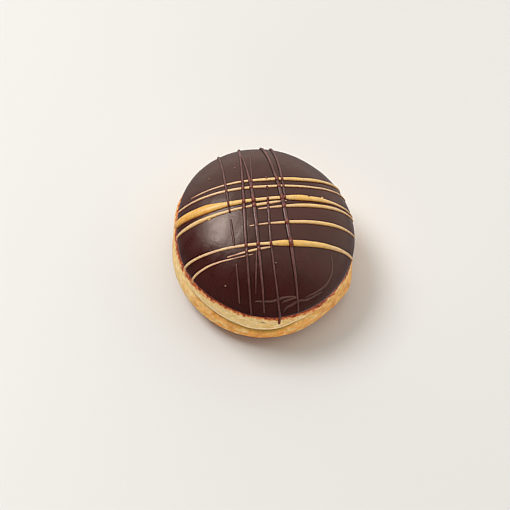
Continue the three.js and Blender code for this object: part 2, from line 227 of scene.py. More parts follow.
def lower_radius(height, angle):
    """Radius of the golden lower half, from the flat base to the fold."""
    foot = np.clip(1 - height / BULGE_HEIGHT, 0, 1)
    quarter = (1 - foot ** BULGE_POWER) ** (1 / BULGE_POWER)
    below = BASE_RADIUS + (BULGE_RADIUS - BASE_RADIUS) * quarter
    climb = np.clip((height - BULGE_HEIGHT) / (fold_height(angle) - BULGE_HEIGHT), 0, 1)
    tuck = BULGE_RADIUS - (BUN_RADIUS - fold_depth(angle))
    return np.where(height < BULGE_HEIGHT, below, BULGE_RADIUS - tuck * climb ** 3)


def band_radius(height, angle):
    """Radius of the pale band, which rolls out over the fold and climbs to the girth."""
    roll = np.clip(1 - (height - fold_height(angle)) / LIP_HEIGHT, 0, 1)
    return BUN_RADIUS - fold_depth(angle) * roll ** 2


def settle(radius, angle, height):
    """Points of the oval, leaning bun from those of the round, upright one."""
    reach = (radius + swell(angle, height)) * outline(angle)
    lean = height / CROWN_HEIGHT
    x = reach * np.cos(angle) + LEAN[0] * lean - MIDDLE[0]
    y = reach * np.sin(angle) + LEAN[1] * lean - MIDDLE[1]
    return np.stack((x, y, height), axis=-1)


def facing(points):
    """The direction from the leaning axis to each settled point."""
    lean = points[:, 2] / CROWN_HEIGHT
    x = points[:, 0] + MIDDLE[0] - LEAN[0] * lean
    y = points[:, 1] + MIDDLE[1] - LEAN[1] * lean
    return np.arctan2(y, x)


def icing_points(x, y):
    """The icing's even outer face over plan points in metres from the middle of the base.

    The crown leans by height, so the height is guessed and corrected a few times.
    """
    height = np.full_like(x, CROWN_HEIGHT)
    for _ in range(4):
        away_x = x - LEAN[0] * height / CROWN_HEIGHT
        away_y = y - LEAN[1] * height / CROWN_HEIGHT
        angle = np.arctan2(away_y, away_x)
        reach = np.hypot(away_x, away_y) / outline(angle) / (BUN_RADIUS + ICING_SIDE)
        turn = np.arcsin(np.minimum(reach, 0.999) ** (DOME_POWER / 2))
        height = dome_height(turn, ICING_CROWN)
    return settle(dome_radius(turn, ICING_SIDE), angle, height)


# -------------------- mesh helpers
def deselect_all():
    for thing in bpy.context.selected_objects:
        thing.select_set(False)


def choose(piece):
    deselect_all()
    piece.select_set(True)
    bpy.context.view_layer.objects.active = piece


def join_to(piece, others):
    choose(piece)
    for other in others:
        other.select_set(True)
    bpy.ops.object.join()


def vectors(items, name):
    flat = np.empty(len(items) * 3)
    items.foreach_get(name, flat)
    return flat.reshape(-1, 3)


def places(mesh):
    return vectors(mesh.vertices, "co")


def outward(mesh):
    return vectors(mesh.vertex_normals, "vector")


def move_to(mesh, points):
    mesh.vertices.foreach_set("co", np.ascontiguousarray(points).ravel())
    mesh.update()


def note(mesh, name, values):
    """Keeps one number for each vertex, which the materials read."""
    kept = mesh.attributes.new(name, "FLOAT", "POINT")
    kept.data.foreach_set("value", values.astype(np.float32))


def smooth(piece, levels):
    """Subdivides the piece, applies it and shades it smooth."""
    choose(piece)
    rounding = piece.modifiers.new("rounding", "SUBSURF")
    rounding.levels = levels
    rounding.render_levels = levels
    bpy.ops.object.modifier_apply(modifier=rounding.name)
    bpy.ops.object.shade_smooth()


def uneven(points, relief, shift=0):
    """Smooth noise at each point, of a height, a breadth and a seed, which a shift changes."""
    height, breadth, seed = relief
    away = Vector((1, 1.7, 2.3)) * (seed + shift)
    return height * np.array([noise.noise(Vector(point) / breadth + away) for point in points])


def turned(name, rings, sides, closed_base):
    """A round body from (radius, height) rings: a circle, extruded and resized, drawn to a point."""
    radius, height = rings[0]
    deselect_all()
    bpy.ops.mesh.primitive_circle_add(
        vertices=sides,
        radius=radius,
        fill_type="TRIFAN" if closed_base else "NOTHING",
        location=(0, 0, height),
    )
    body = bpy.context.active_object
    body.name = name
    bpy.ops.object.transform_apply(location=True)
    bpy.ops.object.mode_set(mode="EDIT")
    bpy.ops.mesh.select_mode(type="EDGE")
    bpy.ops.mesh.select_all(action="SELECT")
    if closed_base:
        bpy.ops.mesh.region_to_loop()
    for next_radius, next_height in rings[1:]:
        lift = {"value": (0, 0, next_height - height)}
        bpy.ops.mesh.extrude_edges_move(TRANSFORM_OT_translate=lift)
        scale = next_radius / radius
        bpy.ops.transform.resize(value=(scale, scale, 1), center_override=(0, 0, next_height))
        radius, height = next_radius, next_height
    bpy.ops.mesh.merge(type="CENTER")
    bpy.ops.mesh.select_all(action="SELECT")
    bpy.ops.mesh.normals_make_consistent(inside=False)
    bpy.ops.object.mode_set(mode="OBJECT")
    return body


# -------------------- colours
def paint(red, green, blue):
    """A colour as the eye names it, 0 to 255, turned into the linear one that the shaders use."""
    def linear(value):
        share = value / 255
        return share / 12.92 if share <= 0.04045 else ((share + 0.055) / 1.055) ** 2.4
    return (linear(red), linear(green), linear(blue), 1.0)


# -------------------- shader helpers
def add(tree, kind, sockets=None, **settings):
    """A new node with its settings, and a plain value or another node's output on each socket."""
    node = tree.nodes.new(kind)
    for key, value in settings.items():
        setattr(node, key, value)
    for key, value in (sockets or {}).items():
        if isinstance(value, bpy.types.NodeSocket):
            tree.links.new(value, node.inputs[key])
        else:
            node.inputs[key].default_value = value
    return node


def wire(tree, source, target):
    tree.links.new(source, target)


def object_noise(tree, scale, detail, roughness=0.5, drawn=(1, 1, 1), turn=0.0):
    """Noise on the piece's own coordinates, drawn out along its axes and turned about Z."""
    place = add(tree, "ShaderNodeTexCoord").outputs["Object"]
    sockets = {"Vector": place, "Scale": drawn, "Rotation": (0, 0, turn)}
    mapping = add(tree, "ShaderNodeMapping", sockets, vector_type="TEXTURE").outputs["Vector"]
    sockets = {"Vector": mapping, "Scale": scale, "Detail": detail, "Roughness": roughness}
    return add(tree, "ShaderNodeTexNoise", sockets).outputs["Fac"]


def math_node(tree, operation, *values):
    return add(tree, "ShaderNodeMath", dict(enumerate(values)), operation=operation).outputs[0]


def times(tree, first, second):
    return math_node(tree, "MULTIPLY", first, second)


def drift(tree, scale, detail=4.0, roughness=0.5):
    """Noise about 0 instead of about a half."""
    return math_node(tree, "SUBTRACT", object_noise(tree, scale, detail, roughness), 0.5)


def ranged(tree, value, low, high, to_low=0.0, to_high=1.0):
    """A smooth step from to_low to to_high as the value goes from low to high."""
    sockets = {"Value": value, "From Min": low, "From Max": high, "To Min": to_low, "To Max": to_high}
    step = add(tree, "ShaderNodeMapRange", sockets, interpolation_type="SMOOTHSTEP")
    return step.outputs["Result"]


MIX_INPUTS = (0, 6, 7)  # the numbers of a Mix node's factor and its two colours
MIX_OUTPUT = 2


def mixed(tree, mask, under, over):
    """Colour under, with colour over it where the mask is 1."""
    sockets = dict(zip(MIX_INPUTS, (mask, under, over)))
    return add(tree, "ShaderNodeMix", sockets, data_type="RGBA").outputs[MIX_OUTPUT]


def spotted(tree, scale, low, high, strength, detail=4.0):
    """A mask of soft patches."""
    patches = object_noise(tree, scale, detail, roughness=0.6)
    return ranged(tree, patches, low, high, to_high=strength)


def attribute(tree, name):
    return add(tree, "ShaderNodeAttribute", attribute_name=name).outputs["Fac"]


def ramp(tree, value, stops):
    """Colours at given values, from stops of a value and the colour that the eye names there."""
    low, high = stops[0][0], stops[-1][0]
    sockets = {"Value": value, "From Min": low, "From Max": high}
    spread = add(tree, "ShaderNodeMapRange", sockets).outputs["Result"]
    node = add(tree, "ShaderNodeValToRGB", {"Fac": spread})
    node.color_ramp.interpolation = "EASE"
    elements = node.color_ramp.elements
    for place, *_ in stops[1:-1]:
        elements.new((place - low) / (high - low))
    for element, (_, *colour) in zip(elements, stops):
        element.color = paint(*colour)
    return node.outputs["Color"]


def new_group(name, inputs, outputs):
    group = bpy.data.node_groups.new(name, "ShaderNodeTree")
    for label, kind, value in inputs:
        socket = group.interface.new_socket(name=label, in_out="INPUT", socket_type=kind)
        socket.default_value = value
    for label, kind in outputs:
        group.interface.new_socket(name=label, in_out="OUTPUT", socket_type=kind)
    return group, group.nodes.new("NodeGroupInput"), group.nodes.new("NodeGroupOutput")


def uneven_tone_group():
    """A colour that drifts lighter and darker over the piece, as cooked and set food does."""
    group, given, result = new_group(
        "uneven_tone",
        (("Colour", "NodeSocketColor", (0.5, 0.5, 0.5, 1)),
         ("Patch Size", "NodeSocketFloat", 100.0),
         ("Variation", "NodeSocketFloat", 0.15)),
        (("Colour", "NodeSocketColor"),),
    )
    patches = drift(group, given.outputs["Patch Size"], roughness=0.6)
    swing = times(group, patches, given.outputs["Variation"])
    gain = math_node(group, "MULTIPLY_ADD", swing, 4.0, 1.0)
    sockets = {"Value": gain, "Color": given.outputs["Colour"]}
    tone = add(group, "ShaderNodeHueSaturation", sockets)
    wire(group, tone.outputs["Color"], result.inputs["Colour"])
    return group


def skin_relief_group():
    """A height of fine pores over soft waves, for a Bump node."""
    group, given, result = new_group(
        "skin_relief",
        (("Wave Scale", "NodeSocketFloat", 150.0),
         ("Pore Scale", "NodeSocketFloat", 1500.0),
         ("Pore Share", "NodeSocketFloat", 0.3)),
        (("Height", "NodeSocketFloat"),),
    )
    waves = object_noise(group, given.outputs["Wave Scale"], detail=2)
    pores = object_noise(group, given.outputs["Pore Scale"], detail=2)
    pores = times(group, pores, given.outputs["Pore Share"])
    wire(group, math_node(group, "ADD", waves, pores), result.inputs["Height"])
    return group


UNEVEN_TONE = uneven_tone_group()
SKIN_RELIEF = skin_relief_group()


def toned(tree, colour, patch_size, variation):
    """The colour, drifting lighter and darker."""
    sockets = {"Colour": colour, "Patch Size": patch_size, "Variation": variation}
    return add(tree, "ShaderNodeGroup", sockets, node_tree=UNEVEN_TONE).outputs["Colour"]


def skin(tree, wave_scale, pore_scale, pore_share):
    sockets = {"Wave Scale": wave_scale, "Pore Scale": pore_scale, "Pore Share": pore_share}
    return add(tree, "ShaderNodeGroup", sockets, node_tree=SKIN_RELIEF).outputs["Height"]


def new_material(name, **surface):
    """A material, its node tree and its Principled shader with the given values set on it."""
    made = bpy.data.materials.new(name)
    made.use_nodes = True
    tree = made.node_tree
    shader = tree.nodes["Principled BSDF"]
    for key, value in surface.items():
        shader.inputs[key.replace("_", " ")].default_value = value
    return made, tree, shader


def bumped(tree, shader, height, strength, distance):
    relief = add(tree, "ShaderNodeBump", {"Height": height, "Strength": strength, "Distance": distance})
    wire(tree, relief.outputs["Normal"], shader.inputs["Normal"])


# -------------------- the fried dough
PIT_FACING = rad(-90.3)  # one small dark pit in the pale band at the front
PIT_BELOW_RIM = 4.8 * MM
PIT_SIZE = 1.1 * MM
PIT_DEPTH = 0.5 * MM
PIT_FLATNESS = 0.7  # its height as a share of its width

# Relief of the fried crust: height, breadth and seed.
LUMPS = (0.26 * MM, 11 * MM, 3)
DIMPLES = (0.14 * MM, 3.6 * MM, 7)
DIMPLES_ON_BAND = 0.5  # share of their height that the dimples keep above the fold
WRINKLES = (0.10 * MM, 1.5 * MM, 11)
WRINKLES_ON_BAND = 0.35
WRINKLES_DRAWN = (1, 1, 0.45)  # wrinkles run up and down
BLISTERS = (0.35 * MM, 5.2 * MM, 19)
BLISTER_START = 0.133 * MM  # what is lower than this raises no blister
RELIEF_FADE = 2 * MM  # the relief grows over this height from the base, and down from the fold
HIDDEN_BELOW_RIM = 1 * MM  # from this far below the icing's rim it fades,
HIDDEN_FADE = 1.5 * MM  # over this height

# How pale the band under the icing and the half below the fold are, from 0, golden, to 1, at
# directions in degrees. The left side is paler, the right side more golden.
SIDE_TONES = (
    (-180, 0.75, 0.45), (-168, 1.0, 0.9), (-150, 1.0, 0.85), (-136, 1.0, 0.4), (-120, 1.0, 0.2),
    (-95, 1.0, 0.05), (-72, 0.95, 0.2), (-60, 0.5, 0.3), (-40, 0.6, 0.15), (-15, 0.6, 0.0),
    (40, 0.7, 0.1), (120, 0.7, 0.1), (180, 0.75, 0.45),
)
TONE_STEP = 0.8  # the colour changes over this many millimetres at the fold,
TONE_LEAD = 0.4  # and this share of them lies below it
PALE_SIDE = rad(140)  # past this direction the band's paleness starts lower
PALE_SIDE_FROM = 12 * MM
PALE_SIDE_TO = 16 * MM
# How strongly the painted fold shade and lip highlight show, at directions in degrees: only at the
# front.
FOLD_SEEN = (
    (-180, 0.0), (-152, 0.0), (-138, 1.0), (-74, 1.0), (-58, 0.25), (-48, 0.0), (180, 0.0),
)
# How far the icing has soaked into the dough below its rim, in millimetres, at directions.
SOAKED = (
    (-180, 3.5), (-168, 5.0), (-150, 5.0), (-143, 4.0), (-132, 3.3), (-118, 2.5), (-90, 2.1),
    (-81, 3.2), (-62, 4.0), (-56, 5.2), (-45, 4.2), (0, 3.6), (180, 3.5),
)


def bun_rings():
    """Rings from the flat base, over the bulge, the fold and the pale band, to the crown."""
    rings = []
    for share in (0.0, 0.08, 0.17, 0.27, 0.38, 0.5, 0.62, 0.74, 0.87, 1.0):
        height = BULGE_HEIGHT * share
        rings.append((float(lower_radius(height, 0.0)), height))
    for share in (0.17, 0.34, 0.5, 0.64, 0.76, 0.86, 0.93, 0.975):
        rings.append((BULGE_RADIUS, BULGE_HEIGHT + (FOLD_HEIGHT - BULGE_HEIGHT) * share))
    for share in (0.0, 0.035, 0.08, 0.14, 0.22, 0.34, 0.5, 0.74):
        rings.append((BUN_RADIUS, FOLD_HEIGHT + (GIRTH_HEIGHT - FOLD_HEIGHT) * share))
    for degrees in (90, 86, 82, 78, 74, 70, 66, 62, 57, 51, 44, 36, 28, 20, 12, 5):
        turn = rad(degrees)
        rings.append((float(dome_radius(turn, 0)), float(dome_height(turn, 0))))
    return rings


def shape_bun(bun):
    """Lets the fold wander, tucks it in, and makes the round body oval and leaning."""
    points = places(bun.data)
    angle = np.arctan2(points[:, 1], points[:, 0])
    radius = np.hypot(points[:, 0], points[:, 1])
    height = points[:, 2]
    fold = fold_height(angle)
    climb = (height - BULGE_HEIGHT) / (FOLD_HEIGHT - BULGE_HEIGHT)
    rest = (height - FOLD_HEIGHT) / (GIRTH_HEIGHT - FOLD_HEIGHT)
    on_lower = (height > WELD) & (climb < 1 - WELD)
    on_band = (climb >= 1 - WELD) & (rest < 1 - WELD)
    height = np.where(on_lower & (climb > 0), BULGE_HEIGHT + (fold - BULGE_HEIGHT) * climb, height)
    height = np.where(on_band, fold + (GIRTH_HEIGHT - fold) * rest, height)
    radius = np.where(on_lower, lower_radius(height, angle), radius)
    radius = np.where(on_band, band_radius(height, angle), radius)
    move_to(bun.data, settle(radius, angle, height))


def roughen_crust(bun):
    """Lumps, blisters and wrinkles of fried dough, strongest on the golden lower half."""
    points = places(bun.data)
    normals = outward(bun.data)
    angle = facing(points)
    above_fold = points[:, 2] - fold_height(angle)
    golden = np.clip(-above_fold / RELIEF_FADE, 0, 1)
    hidden = np.clip((points[:, 2] - rim_height(angle) + HIDDEN_BELOW_RIM) / HIDDEN_FADE, 0, 1)
    standing = np.clip(points[:, 2] / RELIEF_FADE, 0, 1)
    relief = uneven(points, LUMPS)
    dimples = uneven(points, DIMPLES)
    relief += dimples * (DIMPLES_ON_BAND + (1 - DIMPLES_ON_BAND) * golden)
    wrinkles = uneven(points * np.array(WRINKLES_DRAWN), WRINKLES)
    relief += wrinkles * (WRINKLES_ON_BAND + (1 - WRINKLES_ON_BAND) * golden)
    relief += np.maximum(uneven(points, BLISTERS) - BLISTER_START, 0) * golden
    points += normals * (relief * standing * (1 - hidden))[:, None]
    move_to(bun.data, points)


def press_pit(bun):
    points = places(bun.data)
    angle = facing(points)
    middle = rim_height(PIT_FACING) - PIT_BELOW_RIM
    across = (angle - PIT_FACING) * BUN_RADIUS
    away = np.hypot(across * PIT_FLATNESS, points[:, 2] - middle)
    depth = bump(away, PIT_SIZE / 2)
    points -= outward(bun.data) * (PIT_DEPTH * depth)[:, None]
    move_to(bun.data, points)
    note(bun.data, "pit", depth)


def at_direction(table, column, angle):
    """A column of a table of directions in degrees, at each angle."""
    degrees = np.degrees(angle)
    return np.interp(degrees, [row[0] for row in table], [row[column] for row in table])


def note_crust(bun):
    """Keeps on the bun how its colour runs: over the fold, under the rim and round the sides."""
    points = places(bun.data)
    angle = facing(points)
    above_fold = (points[:, 2] - fold_height(angle)) / MM
    below_rim = (rim_height(angle) - points[:, 2]) / MM
    over = np.clip(above_fold / TONE_STEP + TONE_LEAD, 0, 1)
    climb = np.clip((points[:, 2] - PALE_SIDE_FROM) / (PALE_SIDE_TO - PALE_SIDE_FROM), 0, 1)
    over = np.maximum(over, climb * (np.abs(angle) > PALE_SIDE))
    band = at_direction(SIDE_TONES, 1, angle)
    lower = at_direction(SIDE_TONES, 2, angle)
    pale = lower + (band - lower) * over
    note(bun.data, "above_fold_mm", above_fold)
    note(bun.data, "height_mm", points[:, 2] / MM)
    note(bun.data, "pale", pale)
    note(bun.data, "soak", below_rim / at_direction(SOAKED, 1, angle))
    note(bun.data, "folded", at_direction(FOLD_SEEN, 1, angle))


def dough_material():
    """Cream to golden crust, browner towards the foot, soaked under the icing, with painted shade in
    the fold and a painted highlight on its lip.
    """
    made, tree, shader = new_material(
        "fried_dough",
        Roughness=0.55,
        Specular_IOR_Level=0.35,
        Subsurface_Weight=0.12,
        Subsurface_Scale=0.003,
    )
    ragged = drift(tree, 620, roughness=0.6)
    slow = drift(tree, 210)
    height = math_node(tree, "MULTIPLY_ADD", slow, 8.0, attribute(tree, "height_mm"))
    golden = ramp(tree, height, (
        (0, 176, 92, 36),
        (5, 212, 126, 50),
        (7.5, 240, 168, 82),
        (11, 246, 184, 98),
        (16, 244, 188, 106),
    ))
    cream = ramp(tree, height, (
        (0, 210, 144, 72),
        (5, 234, 180, 106),
        (9, 241, 206, 134),
        (18, 243, 211, 146),
    ))
    golden = mixed(tree, spotted(tree, 230, 0.5, 0.6, 0.75), golden, paint(248, 212, 146))
    golden = mixed(tree, spotted(tree, 150, 0.5, 0.64, 0.6, detail=5), golden, paint(210, 124, 46))
    golden = mixed(tree, spotted(tree, 340, 0.54, 0.66, 0.5), golden, paint(208, 160, 66))
    cream = mixed(tree, spotted(tree, 210, 0.48, 0.64, 0.4), cream, paint(234, 190, 112))
    cream = mixed(tree, spotted(tree, 330, 0.5, 0.64, 0.55), cream, paint(255, 230, 184))
    cream = mixed(tree, spotted(tree, 130, 0.54, 0.68, 0.45), cream, paint(234, 168, 96))
    pale = math_node(tree, "MULTIPLY_ADD", slow, 1.2, attribute(tree, "pale"))
    crust = mixed(tree, ranged(tree, pale, 0.1, 0.85), golden, cream)

    folded = attribute(tree, "folded")
    above_fold = math_node(tree, "MULTIPLY_ADD", ragged, 0.7, attribute(tree, "above_fold_mm"))
    # Painted highlight on the lip just above the fold, and painted shade in the fold below it.
    lip = times(tree, ranged(tree, above_fold, 0.1, 0.5), ranged(tree, above_fold, 2.8, 1.2))
    crease_shade = times(tree, ranged(tree, above_fold, -1.8, -0.4), ranged(tree, above_fold, 0.2, 0.0))
    crust = mixed(tree, times(tree, lip, folded), crust, paint(252, 228, 188))
    crust = mixed(tree, times(tree, crease_shade, folded), crust, paint(188, 152, 74))

    soak = math_node(tree, "MULTIPLY_ADD", ragged, 2.6, attribute(tree, "soak"))
    soak = math_node(tree, "MULTIPLY_ADD", slow, 1.3, soak)
    crust = mixed(tree, ranged(tree, soak, 1.3, 0.9), crust, paint(234, 164, 96))
    crust = mixed(tree, ranged(tree, soak, 0.95, 0.6), crust, paint(200, 104, 54))
    crust = mixed(tree, ranged(tree, soak, 0.7, 0.25), crust, paint(142, 56, 30))
    crust = mixed(tree, attribute(tree, "pit"), crust, paint(98, 56, 12))
    wire(tree, toned(tree, crust, 480.0, 0.16), shader.inputs["Base Color"])
    bumped(tree, shader, skin(tree, 420.0, 1900.0, 0.45), strength=0.5, distance=0.5 * MM)
    return made


def make_dough():
    bun = turned("dough_bun", bun_rings(), BUN_SIDES, closed_base=True)
    shape_bun(bun)
    smooth(bun, SMOOTHING)
    roughen_crust(bun)
    press_pit(bun)
    note_crust(bun)
    bun.data.materials.append(dough_material())
    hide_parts("dough")
    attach(bun, BODY)
    return bun


# -------------------- the chocolate icing
RIM_THICKNESS = 0.3  # the icing's thickness at its rim, as a share of the crown's
LEAST_THICKNESS = 0.12
UNDERSIDE = -0.1  # where the normal points down by more than this, the icing has no swells
# Relief of the icing: height, breadth and seed. The raggedness goes round a circle of radius 1.
RIM_RAGGEDNESS = (0.22 * MM, 0.09, 5)
RIM_FRAYING = (0.32 * MM, 1.7 * MM, 37)
SLOW_SWELL = (0.16 * MM, 14 * MM, 23)
QUICK_SWELL = (0.064 * MM, 5 * MM, 29)
RIM_FRAYED = 1.5 * MM  # the rim frays, and the swells fade, within this height of it
# Low ridges in the set icing near its rim at the front, as plan points in millimetres.
RIDGES = (
    ((31.4, -18.7), (31.7, -25.1), (29.2, -30.7), (24.6, -34.8), (19.2, -37.9)),
    ((27.1, -34), (21.1, -37.8), (17.4, -39.3)),
    ((15.1, -38.2), (9.8, -39.2), (4.2, -40.7), (-3.3, -40.6)),
    ((16.5, -38.2), (13.8, -39), (8.8, -40.9)),
    ((20.5, -38.3), (16.5, -39.4), (13.2, -41.1), (11, -42), (9.7, -43.3)),
)
STREAK_TURN = rad(-35)  # the sheen's fine streaks run towards the back right
RIDGE_WIDTH = 1.8  # in millimetres, as the strands' widths are
RIDGE_FLATNESS = 0.56  # share of a ridge's height that is pressed out of it
RIDGE_END = 0.03


def icing_rings():
    """Rings from the rim to the crown, closest together at the rim, where the edge rolls in."""
    rim = float(dome_turn(RIM_HEIGHT, ICING_CROWN))
    rings = []
    for percent in (100, 99.3, 98, 96, 93, 88, 81, 73, 64, 55, 46, 37, 28, 19, 10, 4):
        turn = rim * percent / 100
        rings.append((float(dome_radius(turn, ICING_SIDE)), float(dome_height(turn, ICING_CROWN))))
    return rings


def drape_icing(cap):
    """Slides the rings so that the lowest follows the wavy rim, and thins the edge."""
    points = places(cap.data)
    angle = np.arctan2(points[:, 1], points[:, 0])
    share = dome_turn(points[:, 2], ICING_CROWN) / dome_turn(RIM_HEIGHT, ICING_CROWN)
    ring = np.stack((np.cos(angle), np.sin(angle), np.zeros(len(angle))), axis=-1)
    rim = rim_height(angle) + uneven(ring, RIM_RAGGEDNESS)
    turn = share * dome_turn(rim, ICING_CROWN)
    radius = dome_radius(turn, ICING_SIDE)
    height = dome_height(turn, ICING_CROWN)
    roll = np.clip(1 - (height - rim) / ICING_EDGE_ROLL, 0, 1)
    radius = radius - (ICING_SIDE - ICING_GAP) * ICING_EDGE_THINNING * roll ** 3
    move_to(cap.data, settle(radius, angle, height))


def thicken_icing(cap):
    """Gives the sheet its thickness inwards, thin at the rim and thicker on the crown."""
    points = places(cap.data)
    above_rim = points[:, 2] - rim_height(facing(points))
    climb = above_rim / (CROWN_HEIGHT - RIM_HEIGHT)
    share = np.clip(RIM_THICKNESS + (1 - RIM_THICKNESS) * climb, LEAST_THICKNESS, 1)
    thickness = cap.vertex_groups.new(name="thickness")
    for number, weight in enumerate(share):
        thickness.add([number], float(weight), "REPLACE")
    choose(cap)
    body = cap.modifiers.new("body", "SOLIDIFY")
    body.thickness = ICING_CROWN - ICING_GAP
    body.offset = -1
    body.vertex_group = thickness.name
    bpy.ops.object.modifier_apply(modifier=body.name)
    cap.vertex_groups.clear()


def curved(line):
    """A smooth line through the given plan points, as arrays of x and y."""
    spots = [np.array(spot, dtype=float) for spot in line]
    spots = [spots[0]] + spots + [spots[-1]]
    smooth_line = []
    for before, start, end, after in zip(spots, spots[1:], spots[2:], spots[3:]):
        for share in np.arange(CURVE_STEPS) / CURVE_STEPS:
            near_start = 2 * share ** 3 - 3 * share ** 2 + 1
            leaving = (end - before) / 2 * (share ** 3 - 2 * share ** 2 + share)
            arriving = (after - start) / 2 * (share ** 3 - share ** 2)
            smooth_line.append(start * near_start + leaving + end * (1 - near_start) + arriving)
    smooth_line.append(spots[-1])
    return np.array(smooth_line).T


def ripple_icing(cap):
    """Slow swells in the set icing, fading out at its rim, which frays."""
    points = places(cap.data)
    normals = outward(cap.data)
    top = normals[:, 2] > UNDERSIDE
    lift = uneven(points, SLOW_SWELL) + uneven(points, QUICK_SWELL)
    above_rim = points[:, 2] - rim_height(facing(points))
    lift *= np.clip(above_rim / RIM_FRAYED, 0, 1) * top
    points += normals * lift[:, None]
    near_rim = np.clip(1 - above_rim / RIM_FRAYED, 0, 1)
    points[:, 2] += uneven(points, RIM_FRAYING) * near_rim
    move_to(cap.data, points)


def icing_material():
    """Dark chocolate, set with a streaky soft gloss and reddish at its rim, with a painted highlight
    along its ridges.
    """
    made, tree, shader = new_material(
        "chocolate_icing",
        Specular_IOR_Level=0.5,
        Specular_Tint=(1.0, 0.87, 0.78, 1.0),
    )
    cloud = object_noise(tree, 60, detail=4, roughness=0.6)
    base = mixed(tree, ranged(tree, cloud, 0.35, 0.65), paint(56, 20, 18), paint(64, 25, 22))
    tone = toned(tree, base, 300.0, 0.1)
    ragged = drift(tree, 700, detail=3)
    above_rim = math_node(tree, "MULTIPLY_ADD", ragged, 1.6, attribute(tree, "above_rim_mm"))
    tone = mixed(tree, ranged(tree, above_rim, 0.75, 0.1), tone, paint(142, 66, 40))
    # Painted highlight: the crests of the ridges are painted paler.
    ridge_highlight = ranged(tree, attribute(tree, "side"), 0.7, 1.0, to_high=0.45)
    tone = mixed(tree, ridge_highlight, tone, paint(116, 92, 85))
    wire(tree, tone, shader.inputs["Base Color"])
    streaks = object_noise(tree, 260, detail=3, drawn=(1.0, 6.0, 3.0), turn=STREAK_TURN)
    gloss = math_node(tree, "ADD", cloud, streaks)
    wire(tree, ranged(tree, gloss, 0.8, 1.2, 0.23, 0.35), shader.inputs["Roughness"])
    relief = skin(tree, 230.0, 1400.0, 0.1)
    relief = math_node(tree, "MULTIPLY_ADD", streaks, 0.4, relief)
    bumped(tree, shader, relief, strength=0.3, distance=0.4 * MM)
    return made


def note_rim(piece):
    """Keeps how far each point lies above the icing's rim, in millimetres."""
    points = places(piece.data)
    note(piece.data, "above_rim_mm", (points[:, 2] - rim_height(facing(points))) / MM)


def make_icing():
    cap = turned("icing_cap", icing_rings(), ICING_SIDES, closed_base=False)
    drape_icing(cap)
    thicken_icing(cap)
    smooth(cap, SMOOTHING)
    ripple_icing(cap)
    return cap


def finish_icing(cap, dough):
    """Adds the ridges to the cap, then notes how far each point lies above the rim."""
    icing = surface_of(cap)
    ridges = lay_strands("ridges", [ridge_line(line, icing, dough) for line in RIDGES])
    join_to(cap, [ridges])
    bpy.ops.object.shade_smooth()
    note_rim(cap)
    cap.data.materials.append(icing_material())
    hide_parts("chocolate_icing")
    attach(cap, BODY)


# -------------------- drizzle
HIGH = 0.1  # small things are dropped from this height
PROBE_START = 5 * MM  # what lies under a strand is looked for from this far above
PROBE_REACH = 6 * MM
CARAMEL_FULLNESS = 1.06  # how much wider a round strand is than its faceted solid
CHOCOLATE_FULLNESS = 1.05
CARAMEL_SLIP = 0.45 * MM  # how much nearer the front the caramel lies than its solid
BEAD_CAP = 1.6 * MM  # no strand stands higher than this, however wide
BEAD_FOOT = 0.3  # how much of its lower half a strand keeps
LUMP_WIDTH = 2.0  # a lump is coloured as a strand of this width is
LEAST_NOSE = 0.2 * MM  # a strand's end is rounded over its half width, or this if that is less
END_WIDTH = 0.02
CARAMEL_SEED = 51
CHOCOLATE_SEED = 77
# How a strand wanders sideways and how its width comes and goes: amount, length and seed.
LATERAL_WANDER = (0.12 * MM, 7 * MM, 40)
WIDTH_WANDER = (0.08, 4.5 * MM, 0)
CROSSING_SMOOTHING = 0.7 * MM
RIM_STEP = (1.0 * MM, -0.3 * MM)  # a strand turns from icing to dough between these heights

LUMP_RELIEF = (0.5, 0.6 * MM, 0)  # a lump's bumps, their height as a share of its radius
LUMP_SQUASH = 0.35
# Small lumps on the drizzle: plan place and size in millimetres.
CARAMEL_LUMPS = ((27.8, 9.6, 1.2), (-24.1, -2.4, 1.7))
CARAMEL_LUMP_SEED = 61
CHOCOLATE_LUMPS = ((21.5, 8.7, 1.2), (6.2, -25.7, 1.3))
CHOCOLATE_LUMP_SEED = 67


def surface_of(piece):
    """The finished surface of a piece, for laying other pieces on it."""
    mesh = piece.data
    corners = [vertex.co.copy() for vertex in mesh.vertices]
    return BVHTree.FromPolygons(corners, [tuple(face.vertices) for face in mesh.polygons])


def strand_trail(strand):
    """Shares along a strand and points of the even icing: above the rim, and down its drip."""
    share = np.linspace(0, 1, TRAIL_SAMPLES + 1)
    (x0, y0), (x1, y1) = strand.start, strand.end
    aside = strand.bow * 4 * share * (1 - share) + strand.sway * np.sin(2 * np.pi * share)
    aside /= math.hypot(x1 - x0, y1 - y0)
    x = x0 + (x1 - x0) * share - (y1 - y0) * aside
    y = y0 + (y1 - y0) * share + (x1 - x0) * aside
    points = icing_points(x * MM, y * MM)
    lowest = rim_height(facing(points)) + RIM_CLEAR - strand.overrun * MM
    lies = points[:, 2] > lowest
    share, points = share[lies], points[lies]
    fall = np.arange(DRIP_STEP, strand.drip * MM, DRIP_STEP)
    height = points[-1, 2] - fall
    drip = settle(side_radius(height), facing(points[-1:]), height)
    return np.append(share, np.ones(len(fall))), np.concatenate((points, drip))


def even_stations(share, points):
    """Resamples a trail at even steps. Gives shares, points and the distance along it."""
    run = np.concatenate(([0], np.cumsum(np.linalg.norm(np.diff(points, axis=0), axis=1))))
    along = np.linspace(0, run[-1], max(6, int(run[-1] / STRAND_STEP)) + 1)
    even = np.stack([np.interp(along, run, points[:, axis]) for axis in range(3)], axis=-1)
    return np.interp(along, run, share), even, along


